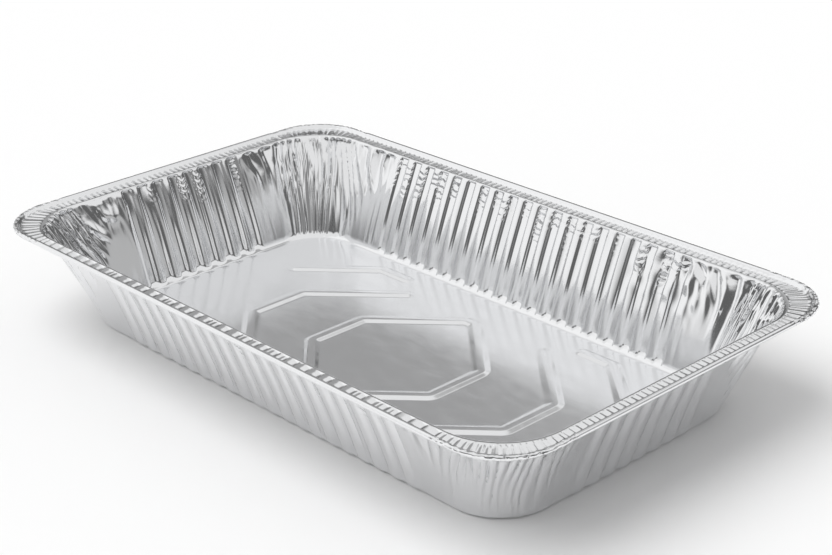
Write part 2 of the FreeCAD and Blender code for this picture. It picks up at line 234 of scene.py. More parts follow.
def outline(plan: TrayPlan, columns: Columns, inset: float, radius: float,
            long_end: float, short_end: float) -> tuple[np.ndarray, np.ndarray]:
    """Place the columns on one rounded rectangle.

    Args:
        plan: Outline of the tray.
        columns: Columns round the tray.
        inset: Distance inwards from the outermost edge of the rim.
        radius: Corner radius of this rectangle.
        long_end: Half length of the plain stretch of a long wall.
        short_end: Half length of the plain stretch of a short wall.

    Returns:
        Points in mm and outward normals, one row for each column.
    """
    half_x = plan.length / 2 - inset
    half_y = plan.width / 2 - inset
    centre_x = half_x - radius
    centre_y = half_y - radius
    points = np.zeros((len(columns), 2))
    normals = np.zeros((len(columns), 2))
    for index, zone in enumerate(columns.zone):
        sign_x = columns.sign_x[index]
        sign_y = columns.sign_y[index]
        place = columns.place[index]
        if zone is Zone.LONG_WALL:
            points[index] = (place, sign_y * half_y)
            normals[index] = (0, sign_y)
        elif zone is Zone.SHORT_WALL:
            points[index] = (sign_x * half_x, place)
            normals[index] = (sign_x, 0)
        elif zone is Zone.CORNER_LONG_SIDE:
            x = long_end + (centre_x - long_end) * place
            points[index] = (sign_x * x, sign_y * half_y)
            normals[index] = (0, sign_y)
        elif zone is Zone.CORNER_SHORT_SIDE:
            y = short_end + (centre_y - short_end) * place
            points[index] = (sign_x * half_x, sign_y * y)
            normals[index] = (sign_x, 0)
        else:
            angle = math.pi / 2 * (1 - place)
            cosine = math.cos(angle)
            sine = math.sin(angle)
            points[index] = (sign_x * (centre_x + radius * cosine),
                             sign_y * (centre_y + radius * sine))
            normals[index] = (sign_x * cosine, sign_y * sine)
    return points, normals


def clear_selection() -> None:
    """Leave edit mode and deselect everything."""
    if bpy.context.object and bpy.context.object.mode != "OBJECT":
        bpy.ops.object.mode_set(mode="OBJECT")
    bpy.ops.object.select_all(action="DESELECT")


def make_active(thing: bpy.types.Object) -> None:
    """Select one object and make it the active one.

    Args:
        thing: Object to select.
    """
    clear_selection()
    thing.select_set(True)
    bpy.context.view_layer.objects.active = thing


def extruded_rings(name: str, count: int, rows: int) -> bpy.types.Object:
    """Tube of rings, made from a circle by one extrusion for each row.

    Args:
        name: Name of the new object.
        count: Vertices in a ring.
        rows: Number of rings.

    Returns:
        The new object. Its vertices hold the ring and the place in the ring in
        the attributes "row" and "column".
    """
    clear_selection()
    bpy.ops.mesh.primitive_circle_add(vertices=count, radius=0.1, fill_type="NOTHING")
    thing = bpy.context.object
    thing.name = name
    thing.data.name = name
    for label in ("row", "column"):
        thing.data.attributes.new(label, "INT", "POINT")
    thing.data.attributes["column"].data.foreach_set("value", np.arange(count, dtype=np.int32))
    bpy.ops.object.mode_set(mode="EDIT")
    bpy.ops.mesh.select_all(action="SELECT")
    for row in range(1, rows):
        bpy.ops.mesh.extrude_region_move(TRANSFORM_OT_translate={"value": (0, 0, 0.001)})
        mesh = bmesh.from_edit_mesh(thing.data)
        layer = mesh.verts.layers.int["row"]
        for vertex in mesh.verts:
            if vertex.select:
                vertex[layer] = row
    bmesh.update_edit_mesh(thing.data)
    bpy.ops.object.mode_set(mode="OBJECT")
    return thing


def ring_index(mesh: bpy.types.Mesh) -> tuple[np.ndarray, np.ndarray]:
    """Ring of each vertex of a tube of rings, and its place in that ring.

    Args:
        mesh: Mesh made by extruded_rings.

    Returns:
        Row and column of each vertex.
    """
    found = []
    for label in ("row", "column"):
        values = np.zeros(len(mesh.vertices), np.int32)
        mesh.attributes[label].data.foreach_get("value", values)
        found.append(values)
    return found[0], found[1]


def place_rings(thing: bpy.types.Object, rings: np.ndarray) -> None:
    """Move every vertex of a tube of rings to its place.

    Args:
        thing: Object made by extruded_rings.
        rings: Points in mm, by row and column.
    """
    mesh = thing.data
    mesh.vertices.foreach_set("co", (rings[ring_index(mesh)] * MM).ravel())
    mesh.update()


def note_grid(thing: bpy.types.Object, label: str, grid: np.ndarray) -> None:
    """Store one number for each vertex of a tube of rings, for its material.

    Args:
        thing: Object made by extruded_rings.
        label: Name of the attribute.
        grid: Values by row and column.
    """
    values = grid[ring_index(thing.data)].astype(np.float32)
    attribute = thing.data.attributes.new(label, "FLOAT", "POINT")
    attribute.data.foreach_set("value", values)


def boundary_loops(mesh: bmesh.types.BMesh) -> list[list[bmesh.types.BMEdge]]:
    """Open edges of a mesh, sorted into closed loops.

    Args:
        mesh: Mesh in edit mode.

    Returns:
        One list of edges for each loop.
    """
    left = {edge for edge in mesh.edges if len(edge.link_faces) < 2}
    loops = []
    while left:
        stack = [left.pop()]
        loop = []
        while stack:
            edge = stack.pop()
            loop.append(edge)
            for vertex in edge.verts:
                for other in vertex.link_edges:
                    if other in left:
                        left.remove(other)
                        stack.append(other)
        loops.append(loop)
    return loops


def select_edges(thing: bpy.types.Object, mesh: bmesh.types.BMesh,
                 loops: list[list[bmesh.types.BMEdge]]) -> None:
    """Select the edges of some loops and nothing else.

    Args:
        thing: Object in edit mode.
        mesh: Its edit mesh.
        loops: Loops to select.
    """
    for item in list(mesh.verts) + list(mesh.edges) + list(mesh.faces):
        item.select = False
    for loop in loops:
        for edge in loop:
            edge.select_set(True)
    mesh.select_flush_mode()
    bmesh.update_edit_mesh(thing.data)


def change_whole(thing: bpy.types.Object, change: Callable[..., set[str]],
                 **options: float) -> None:
    """Run one edit operator on all of a mesh.

    Args:
        thing: Object to change.
        change: Operator of bpy.ops.mesh.
        **options: Options of the operator.
    """
    make_active(thing)
    bpy.ops.object.mode_set(mode="EDIT")
    bpy.ops.mesh.select_all(action="SELECT")
    change(**options)
    bpy.ops.object.mode_set(mode="OBJECT")


def face_upwards(thing: bpy.types.Object, level: float) -> None:
    """Make all faces of an open sheet agree, with those at one height facing up.

    Args:
        thing: Sheet to turn.
        level: Height in metres of faces that should face up.
    """
    change_whole(thing, bpy.ops.mesh.normals_make_consistent, inside=False)
    votes = 0.0
    for polygon in thing.data.polygons:
        if abs(polygon.center.z - level) < 0.1 * MM:
            votes += polygon.normal.z * polygon.area
    if votes < 0:
        change_whole(thing, bpy.ops.mesh.flip_normals)


def thicken(thing: bpy.types.Object, foil: float) -> None:
    """Give an open sheet the thickness of the foil below it, and smooth it.

    Args:
        thing: Sheet to thicken.
        foil: Thickness in metres.
    """
    make_active(thing)
    solid = thing.modifiers.new("foil", "SOLIDIFY")
    solid.thickness = foil
    solid.offset = -1.0
    solid.use_even_offset = False
    bpy.ops.object.modifier_apply(modifier=solid.name)
    bpy.ops.object.shade_smooth_by_angle(angle=math.radians(SHARP_EDGE))


def dressed(thing: bpy.types.Object, finish: bpy.types.Material) -> bpy.types.Object:
    """Give a mesh its material and report it.

    Args:
        thing: Finished mesh.
        finish: Its material.

    Returns:
        The same mesh.
    """
    thing.data.materials.clear()
    thing.data.materials.append(finish)
    triangles = sum(len(polygon.vertices) - 2 for polygon in thing.data.polygons)
    LOG.info("%s: %d vertices, %d triangles", thing.name, len(thing.data.vertices), triangles)
    return thing


def blank_material(name: str) -> tuple[bpy.types.Material, bpy.types.Node]:
    """New material with nothing in it but its output.

    Args:
        name: Name of the material.

    Returns:
        The material and its output node.
    """
    material = bpy.data.materials.new(name)
    material.use_nodes = True
    material.node_tree.nodes.clear()
    return material, material.node_tree.nodes.new("ShaderNodeOutputMaterial")


def add_node(tree: bpy.types.NodeTree, kind: str, inputs: dict[str | int, object],
             **settings: object) -> bpy.types.Node:
    """Add a node and fill its inputs.

    Args:
        tree: Node tree to add to.
        kind: Type of the node.
        inputs: Value or socket for each input, by its name or number.
        **settings: Properties of the node, set before its inputs.

    Returns:
        The new node.
    """
    node = tree.nodes.new(kind)
    for label, value in settings.items():
        setattr(node, label, value)
    for label, value in inputs.items():
        if isinstance(value, bpy.types.NodeSocket):
            tree.links.new(value, node.inputs[label])
        else:
            node.inputs[label].default_value = value
    return node


def arithmetic(tree: bpy.types.NodeTree, operation: str, *values: bpy.types.NodeSocket | float,
               clamp: bool = False) -> bpy.types.NodeSocket:
    """One step of arithmetic.

    Args:
        tree: Node tree to add to.
        operation: Name of the operation.
        *values: Its values, sockets or numbers.
        clamp: Whether the result is kept from 0 to 1.

    Returns:
        The socket with the result.
    """
    node = add_node(tree, "ShaderNodeMath", dict(enumerate(values)), operation=operation,
                    use_clamp=clamp)
    return node.outputs[0]


@dataclass(frozen=True)
class FoilFinish:
    """Bright rolled aluminium foil with rolling lines and crinkles, sizes in metres."""

    name: str = "rolled_foil"
    tint: tuple[float, float, float] = (0.86, 0.865, 0.875)
    roughness: float = 0.1
    roughness_spread: float = 0.04
    smear_range: tuple[float, float] = (0.3, 0.7)
    smear_scale: tuple[float, float, float] = (9.0, 30.0, 30.0)
    grain_height: float = 0.00001
    grain_scale: tuple[float, float, float] = (60.0, 1500.0, 1500.0)
    dent_height: float = 0.00045
    dent_scale: tuple[float, float, float] = (14.0, 14.0, 14.0)
    crumple_height: float = 0.0005
    chevron_pitch: float = 0.0047
    chevron_lean: float = 0.0009
    chevron_sway: float = 9.0
    sway_scale: tuple[float, float, float] = (120.0, 120.0, 90.0)

    def material(self) -> bpy.types.Material:
        """Build the material.

        Returns:
            The new material.
        """
        material, output = blank_material(self.name)
        tree = material.node_tree
        place = tree.nodes.new("ShaderNodeTexCoord").outputs["Object"]
        spread = add_node(tree, "ShaderNodeMapRange", {
            "Value": self._noise(tree, place, self.smear_scale, 3.0),
            "From Min": self.smear_range[0],
            "From Max": self.smear_range[1],
            "To Min": self.roughness - self.roughness_spread / 2,
            "To Max": self.roughness + self.roughness_spread / 2})
        layers = ((self._noise(tree, place, self.dent_scale, 1.0), self.dent_height),
                  (self._crumples(tree, place), self.crumple_height),
                  (self._noise(tree, place, self.grain_scale, 2.0), self.grain_height))
        under = {}
        for height, distance in layers:
            bump = add_node(tree, "ShaderNodeBump", {"Strength": 1.0, "Distance": distance,
                                                     "Height": height, **under})
            under = {"Normal": bump.outputs["Normal"]}
        shader = add_node(tree, "ShaderNodeBsdfPrincipled", {
            "Base Color": (*self.tint, 1.0), "Metallic": 1.0,
            "Roughness": spread.outputs["Result"], **under})
        tree.links.new(shader.outputs["BSDF"], output.inputs["Surface"])
        return material

    def _crumples(self, tree: bpy.types.NodeTree,
                  place: bpy.types.NodeSocket) -> bpy.types.NodeSocket:
        """Chevrons and small folds where the mesh says the foil is crumpled.

        Args:
            tree: Node tree to add to.
            place: Place on the tray in metres.

        Returns:
            The socket with the height of the folds.
        """
        across = add_node(tree, "ShaderNodeAttribute", {}, attribute_name="across")
        crumple = add_node(tree, "ShaderNodeAttribute", {}, attribute_name="crumple")
        split = add_node(tree, "ShaderNodeSeparateXYZ", {"Vector": place})
        turn = 2 * math.pi / self.chevron_pitch
        upward = arithmetic(tree, "MULTIPLY", split.outputs["Z"], turn)
        sideways = arithmetic(tree, "MULTIPLY", across.outputs["Fac"], -self.chevron_lean * turn)
        level = arithmetic(tree, "ADD", upward, sideways)
        sway = self._noise(tree, place, self.sway_scale, 2.0)
        loose = arithmetic(tree, "MULTIPLY", sway, self.chevron_sway)
        wave = arithmetic(tree, "SINE", arithmetic(tree, "ADD", level, loose))
        return arithmetic(tree, "MULTIPLY", wave, crumple.outputs["Fac"])

    def _noise(self, tree: bpy.types.NodeTree, place: bpy.types.NodeSocket,
               scale: tuple[float, float, float], detail: float) -> bpy.types.NodeSocket:
        """Noise stretched along the axes of the tray.

        Args:
            tree: Node tree to add to.
            place: Place on the tray in metres.
            scale: Scale along X, Y and Z, for each metre.
            detail: Octaves of the noise.

        Returns:
            The socket with the noise value.
        """
        mapping = add_node(tree, "ShaderNodeMapping", {"Vector": place, "Scale": scale})
        texture = add_node(tree, "ShaderNodeTexNoise", {
            "Vector": mapping.outputs["Vector"], "Scale": 1.0, "Detail": detail})
        return texture.outputs["Fac"]


@dataclass(frozen=True)
class FluteRow:
    """Flutes of one kind of wall, sizes in mm."""

    count: int
    pitch: float
    flank: float
    depth: float
    phase: float

    def centre(self, number: int) -> float:
        """Place of the middle of one flute along its wall."""
        return (number - (self.count - 1) / 2) * self.pitch


@dataclass
class FlutedWalls:
    """Rounded floor edge, fluted walls and gathered corners, sizes in mm."""

    plan: TrayPlan
    long_row: FluteRow = FluteRow(count=20, pitch=15.1, flank=1.6, depth=1.6, phase=3.1)
    short_row: FluteRow = FluteRow(count=8, pitch=14.7, flank=3.2, depth=2.0, phase=5.7)
    flute_land: float = 5.3
    flute_flank: float = 2.4
    flute_softness: float = 0.06
    flute_unevenness: float = 0.12
    flute_scatter: float = 12.9898
    flute_to_gather: float = 16.0
    flute_top_below_flange: float = 3.4
    streak_depth: float = 0.22
    streak_width: float = 2.6
    streak_length: float = 90.0
    chevron_depth: float = 0.16
    chevron_pitch: float = 4.7
    chevron_lean: float = 0.9
    chevron_sway: float = 3.4
    short_wall_share: float = 0.3
    crush_depth: float = 2.1
    crush_length: float = 56.0
    crush_fade: float = 16.0
    crush_reach: float = 46.0
    left_crush_share: float = 0.6
    far_dent_height: float = 11.0
    left_dent_height: float = 26.0
    dent_width: float = 5.0
    end_steps: int = 8
    side_steps: int = 18
    arc_steps: int = 84
    short_side_steps: int = 12
    gather_depth: float = 2.2
    gather_run: float = 132.0
    gather_pitch: float = 7.6
    gather_lean: float = 16.0
    fine_gather_share: float = 0.46

    def flutes(self, zone: Zone) -> FluteRow | None:
        """Flutes of one zone, or None where it is a corner."""
        return {Zone.LONG_WALL: self.long_row, Zone.SHORT_WALL: self.short_row}.get(zone)

    def plain_end(self, flutes: FluteRow) -> float:
        """Half length of the straight stretch of a wall that has no gathers.

        Args:
            flutes: Flutes of the wall.

        Returns:
            Half length in mm.
        """
        half = self.flute_land / 2 + self.flute_flank
        return (flutes.count - 1) / 2 * flutes.pitch + half + self.flute_to_gather

    @property
    def long_end(self) -> float:
        """Half length of the plain stretch of a long wall."""
        return self.plain_end(self.long_row)

    @property
    def short_end(self) -> float:
        """Half length of the plain stretch of a short wall."""
        return self.plain_end(self.short_row)

    def wall_places(self, flutes: FluteRow) -> list[float]:
        """Places of the columns along one straight wall.

        Args:
            flutes: Flutes of the wall.

        Returns:
            Places in mm from one end to the other.
        """
        flank = flutes.flank
        end = self.plain_end(flutes)
        land = self.flute_land / 2 + (self.flute_flank - flank) / 2
        offsets = [land * 0.72, land + flank * 0.05, land + flank * 0.5,
                   land + flank * 0.95, land + flank * 1.36]
        places = set()
        for number in range(flutes.count):
            centre = flutes.centre(number)
            for offset in offsets:
                places.add(round(centre + offset, 4))
                places.add(round(centre - offset, 4))
        reach = max(places)
        for step in range(1, self.end_steps):
            place = reach + (end - reach) * step / self.end_steps
            places.add(round(place, 4))
            places.add(round(-place, 4))
        places.add(-end)
        return sorted(places)

    def columns(self) -> Columns:
        """Columns of the walls, clockwise from the far left.

        Returns:
            All columns round the tray.
        """
        columns = Columns()
        for corner in Corner:
            sign = corner.sign_x
            if corner.from_long:
                for place in self.wall_places(self.long_row):
                    columns.add(Zone.LONG_WALL, 0, sign, place * sign)
            else:
                for place in self.wall_places(self.short_row):
                    columns.add(Zone.SHORT_WALL, sign, 0, -place * sign)
            self.add_corner(columns, corner)
        return columns

    def add_corner(self, columns: Columns, corner: Corner) -> None:
        """Add the columns of one corner.

        Args:
            columns: Columns to add to.
            corner: The corner.
        """
        steps = []
        for step in range(self.side_steps):
            steps.append((Zone.CORNER_LONG_SIDE, step / self.side_steps))
        for step in range(self.arc_steps + 1):
            steps.append((Zone.CORNER_ARC, step / self.arc_steps))
        for step in range(self.short_side_steps):
            share = 1 - (step + 1) / self.short_side_steps
            steps.append((Zone.CORNER_SHORT_SIDE, share))
        if not corner.from_long:
            steps.reverse()
        for zone, share in steps[:-1]:
            columns.add(zone, corner.sign_x, corner.sign_y, share, corner)

    def section(self) -> list[tuple[float, float, float]]:
        """Inner side of the foil from the floor edge to the flange.

        Returns:
            Inset, height and corner radius in mm of each row.
        """
        plan = self.plan
        turn = plan.wall_turn
        level = plan.foil
        edge = plan.floor_inset
        rows = [(edge + 1.6, level), (edge + 0.7, level)]
        steps = 5
        for step in range(steps + 1):
            angle = turn * step / steps
            rows.append((edge - plan.base_fillet * math.sin(angle),
                         level + plan.base_fillet * (1 - math.cos(angle))))
        bend = plan.wall_top_round
        end = plan.wall_top_inset - bend * math.tan(turn / 2)
        head = (end + bend * math.sin(turn), plan.flange_top - bend * (1 - math.cos(turn)))
        foot = rows[-1]
        lower = np.linspace(0.03, 0.43, 6)
        upper = np.linspace(0.48, 0.985, 20)
        for share in (*lower, *upper):
            rows.append((foot[0] + (head[0] - foot[0]) * share
                         + plan.wall_bow * 4 * share * (1 - share),
                         foot[1] + (head[1] - foot[1]) * share))
        steps = 5
        for step in range(steps + 1):
            angle = turn * (1 - step / steps)
            rows.append((end + bend * math.sin(angle),
                         plan.flange_top - bend * (1 - math.cos(angle))))
        rows.append((plan.seam_inset, plan.flange_top))
        low = edge
        high = head[0]
        result = []
        for inset, height in rows:
            share = min(1.0, max(0.0, (low - inset) / (low - high)))
            radius = plan.base_corner + (plan.wall_top_corner - plan.base_corner) * share
            if inset > edge:
                radius -= inset - edge
            result.append((inset, height, radius))
        return result

    def flute_push(self, columns: Columns) -> np.ndarray:
        """How deep each column lies in a flute.

        Args:
            columns: Columns round the tray.

        Returns:
            Depth in mm at each column.
        """
        push = np.zeros(len(columns))
        for index, zone in enumerate(columns.zone):
            flutes = self.flutes(zone)
            if flutes is None:
                continue
            place = columns.place[index]
            number = round(place / flutes.pitch + (flutes.count - 1) / 2)
            number = min(flutes.count - 1, max(0, number))
            reach = self.flute_land / 2 + (self.flute_flank + flutes.flank) / 2
            share = (reach - abs(place - flutes.centre(number))) / flutes.flank
            uneven = 1.0 + self.flute_unevenness * math.sin(
                self.flute_scatter * number + flutes.phase + columns.sign_x[index]
                + 2 * columns.sign_y[index])
            ramp = float(soft_ramp(np.array(share), self.flute_softness))
            push[index] = ramp * uneven * flutes.depth
        return push

    def gather_place(self, columns: Columns, index: int) -> tuple[Corner | None, float]:
        """Corner whose gathers reach a column, and the place of the column in them.

        Args:
            columns: Columns round the tray.
            index: Number of the column.

        Returns:
            The corner, or None, and the distance in mm from the end of the long wall.
        """
        zone = columns.zone[index]
        place = columns.place[index]
        steps = self.side_steps + self.arc_steps + self.short_side_steps
        unit = self.gather_run / steps
        if zone is Zone.LONG_WALL or zone is Zone.SHORT_WALL:
            end = self.long_end if zone is Zone.LONG_WALL else self.short_end
            short_of = end - abs(place)
            if short_of > self.flute_to_gather - 1.0:
                return None, 0.0
            sign = 1 if place > 0 else -1
            sides = (columns.sign_x[index] or sign, columns.sign_y[index] or sign)
            corner = next(item for item in Corner if (item.sign_x, item.sign_y) == sides)
            return corner, -short_of if zone is Zone.LONG_WALL else self.gather_run + short_of
        corner = columns.corner[index]
        if zone is Zone.CORNER_LONG_SIDE:
            return corner, place * self.side_steps * unit
        if zone is Zone.CORNER_ARC:
            return corner, (self.side_steps + place * self.arc_steps) * unit
        return corner, self.gather_run - place * self.short_side_steps * unit

    def gather_push(self, columns: Columns, heights: np.ndarray) -> np.ndarray:
        """Push of the gathers along the outward normal.

        Args:
            columns: Columns round the tray.
            heights: Height of each row in mm.

        Returns:
            Push in mm, by row and column.
        """
        push = np.zeros((len(heights), len(columns)))
        top = self.plan.flange_top
        whole = self.gather_run
        for index in range(len(columns)):
            corner, run = self.gather_place(columns, index)
            if corner is None:
                continue
            inner = min(run, whole - run)
            for row, height in enumerate(heights):
                rise = min(1.0, max(0.0, (height - 2.0) / (top - 6.0)))
                edge = float(smooth_step(np.array(inner), 26.0 - 50.0 * rise,
                                         48.0 - 50.0 * rise))
                depth = self.gather_depth * (0.22 + 0.78 * rise ** 0.8) * edge
                depth *= min(1.0, (top - height) / 3.0)
                if height < 3.0:
                    depth *= max(0.0, (height - 0.6) / 2.4)
                seed = corner.seed
                lean = corner.slant * self.gather_lean * rise
                sway = 1.2 * drift(run / 26.0, rise * 1.6, seed)
                wide = pleat((run + lean) / (self.gather_pitch * corner.stretch) + sway)
                sway = 1.3 * drift(run / 15.0, rise * 2.4, seed + 9.0)
                fine = pleat((run + 0.7 * lean)
                             / (self.gather_pitch * self.fine_gather_share) + sway)
                strength = 0.75 + 0.9 * drift(run / 12.0, rise * 1.4, seed + 30.0)
                slow = drift(run / 30.0, rise, seed + 20.0)
                push[row, index] = -depth * (0.75 * max(0.15, strength) * wide
                                             + 0.24 * rise * fine + 0.9 * slow)
        return push

    def streak_push(self, columns: Columns, heights: np.ndarray) -> np.ndarray:
        """Fine upright streaks of the walls.

        Args:
            columns: Columns round the tray.
            heights: Height of each row in mm.

        Returns:
            Push in mm along the outward normal, by row and column.
        """
        push = np.zeros((len(heights), len(columns)))
        for index, zone in enumerate(columns.zone):
            if self.flutes(zone) is None:
                continue
            place = columns.place[index] / self.streak_width
            seed = 3.0 * columns.side(index) + 40.0
            for row, height in enumerate(heights):
                below = self.plan.flange_top - 1.5 - height
                if height < 3.0 or below < 0.0:
                    continue
                fade = min(1.0, (height - 3.0) / 6.0) * min(1.0, below / 3.0)
                streak = drift(place, height / self.streak_length, seed)
                push[row, index] = self.streak_depth * 2.0 * streak * fade
        return push

    def marks(self, columns: Columns, heights: np.ndarray) -> tuple[np.ndarray, np.ndarray]:
        """Where the foil is crumpled below the flange, for the material.

        Args:
            columns: Columns round the tray.
            heights: Height of each row in mm.

        Returns:
            Strength of the crumples from 0 to 1 and distance in mm from the middle of a
            flute or land, both by row and column.
        """
        random = np.random.default_rng(21)
        strength = np.zeros((len(heights), len(columns)))
        across = np.zeros((len(heights), len(columns)))
        spots = {}
        for index, zone in enumerate(columns.zone):
            flutes = self.flutes(zone)
            corner, _ = self.gather_place(columns, index)
            if flutes is None or corner is not None:
                continue
            offset = 2 * columns.place[index] / flutes.pitch + (flutes.count + 1)
            number = round(offset)
            key = (zone, columns.side(index), number)
            if key not in spots:
                spots[key] = (max(0.0, random.uniform(-0.9, 1.0)), random.uniform(10.0, 34.0))
            deep, long = spots[key]
            if zone is Zone.SHORT_WALL:
                deep *= self.short_wall_share
            below = self.plan.flange_top - 2.0 - heights
            share = np.clip(below / 3.0, 0.0, 1.0) * np.clip(1.0 - below / long, 0.0, 1.0)
            strength[:, index] = deep * share
            across[:, index] = abs(offset - number) * flutes.pitch / 2
        return np.clip(strength, 0.0, 1.0), across

    def crush(self, columns: Columns, heights: np.ndarray) -> tuple[np.ndarray, np.ndarray]:
        """Loose shift of the chevrons, and dents in the last flutes of two walls.

        Args:
            columns: Columns round the tray.
            heights: Height of each row in mm.

        Returns:
            Shift of the chevrons as an angle and depth of the dents in mm, both by row and
            column.
        """
        loose = np.zeros((len(heights), len(columns)))
        dents = np.zeros((len(heights), len(columns)))
        for index, zone in enumerate(columns.zone):
            if self.flutes(zone) is None:
                continue
            place = columns.place[index]
            side = columns.side(index)
            far_end = self.long_end - place if side == 2 else 1000.0
            left_end = self.short_end + place if side == -1 else 1000.0
            near = float(smooth_step(np.array(min(far_end, left_end)),
                                     self.crush_length + self.crush_fade, self.crush_length))
            tall, deep = self.far_dent_height, self.crush_depth
            if side != 2:
                tall, deep = self.left_dent_height, self.crush_depth * self.left_crush_share
            for row, height in enumerate(heights):
                loose[row, index] = self.chevron_sway * drift(
                    place / self.dent_width, height / 7.0, 4.0 * side + 70.0)
                below = self.plan.flange_top - 1.5 - height
                if near <= 0.0 or below <= 0.0:
                    continue
                share = min(1.0, below / 3.0) * max(0.0, 1.0 - below / self.crush_reach)
                dents[row, index] = deep * near * share * drift(
                    place / self.dent_width, height / tall, 88.0 + side)
        return loose, dents

    def shape(self, columns: Columns) -> tuple[np.ndarray, np.ndarray, np.ndarray]:
        """Places of all vertices of the walls, and where they are crumpled.

        Args:
            columns: Columns round the tray.

        Returns:
            Points in mm, strength of the crumples and distance in mm from the middle of a
            flute or land, all by row and column.
        """
        section = self.section()
        heights = np.array([row[1] for row in section])
        flutes = self.flute_push(columns)
        gathers = self.gather_push(columns, heights)
        wear = self.streak_push(columns, heights)
        strength, across = self.marks(columns, heights)
        turn = 2 * math.pi / self.chevron_pitch
        loose, crush = self.crush(columns, heights)
        wear += self.chevron_depth * strength * np.sin(
            turn * (heights[:, None] - self.chevron_lean * across) + loose)
        wear += crush
        flutes /= math.sin(self.plan.wall_turn)
        top = self.plan.flange_top - self.flute_top_below_flange
        rings = np.zeros((len(section), len(columns), 3))
        for row, (inset, height, radius) in enumerate(section):
            points, normals = outline(self.plan, columns, inset, radius, self.long_end,
                                      self.short_end)
            reach = float(smooth_step(np.array(height), 0.35, 4.6))
            reach *= 1.0 - float(smooth_step(np.array(height), top + 1.7, top + 3.3))
            push = flutes * reach + gathers[row] + wear[row]
            rings[row, :, :2] = points + normals * push[:, None]
            rings[row, :, 2] = height
        return rings, strength, across

    def build(self, finish: bpy.types.Material) -> bpy.types.Object:
        """Build and dress the walls.

        Args:
            finish: Material of the foil.

        Returns:
            The finished mesh.
        """
        columns = self.columns()
        rings, strength, across = self.shape(columns)
        walls = extruded_rings("fluted_walls", len(columns), len(rings))
        place_rings(walls, rings)
        note_grid(walls, "crumple", strength)
        note_grid(walls, "across", across)
        face_upwards(walls, self.plan.foil * MM)
        thicken(walls, self.plan.foil * MM)
        return dressed(walls, finish)


